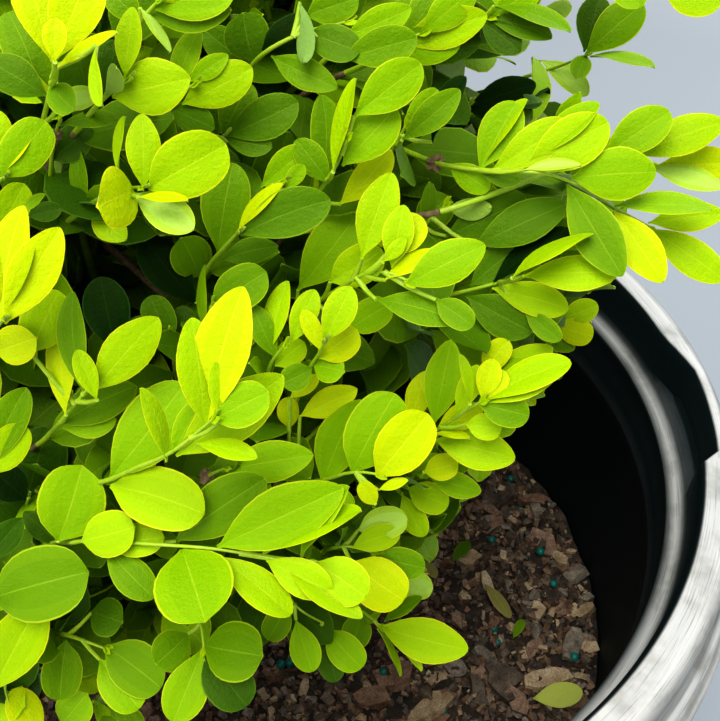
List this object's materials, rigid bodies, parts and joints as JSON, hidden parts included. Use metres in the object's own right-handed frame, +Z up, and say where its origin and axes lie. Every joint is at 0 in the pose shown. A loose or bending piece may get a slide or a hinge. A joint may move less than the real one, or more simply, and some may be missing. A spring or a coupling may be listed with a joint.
{
  "type": "potted box topiary ball",
  "caption": "Rounded evergreen box shrub with small oval leaves, standing in a thin black plastic nursery pot with a rolled, ridged rim and bark-covered soil.",
  "frame": {"origin": "centre of the pot's flat underside", "axes": "+Z up; -Y is the side with the bare soil that the picture looks in from; +X is the right of the picture, where the longest shoots lean over the rim"},
  "size_m": [0.282, 0.282, 0.417],
  "materials": {
    "pot": "glossy black, scuffed",
    "soil": "dark loose bark and compost",
    "bark": "pale fissured bark",
    "leaves": "soft gloss, yellow-green"
  },
  "bodies": {
    "root": {"bough_lower_1": "bark", "bough_lower_2": "bark", "bough_lower_3": "bark", "bough_lower_4": "bark", "bough_middle_1": "bark", "bough_middle_2": "bark", "bough_middle_3": "bark", "bough_middle_4": "bark", "bough_middle_5": "bark", "bough_middle_6": "bark", "bough_top": "bark", "bough_upper_1": "bark", "bough_upper_2": "bark", "bough_upper_3": "bark", "bough_upper_4": "bark", "leaves_lower_1": "leaves", "leaves_lower_2": "leaves", "leaves_lower_3": "leaves", "leaves_lower_4": "leaves", "leaves_middle_1": "leaves", "leaves_middle_2": "leaves", "leaves_middle_3": "leaves", "leaves_middle_4": "leaves", "leaves_middle_5": "leaves", "leaves_middle_6": "leaves", "leaves_top": "leaves", "leaves_upper_1": "leaves", "leaves_upper_2": "leaves", "leaves_upper_3": "leaves", "leaves_upper_4": "leaves", "pot": "pot", "soil": "soil", "stem": "bark"}
  },
  "joints": []
}
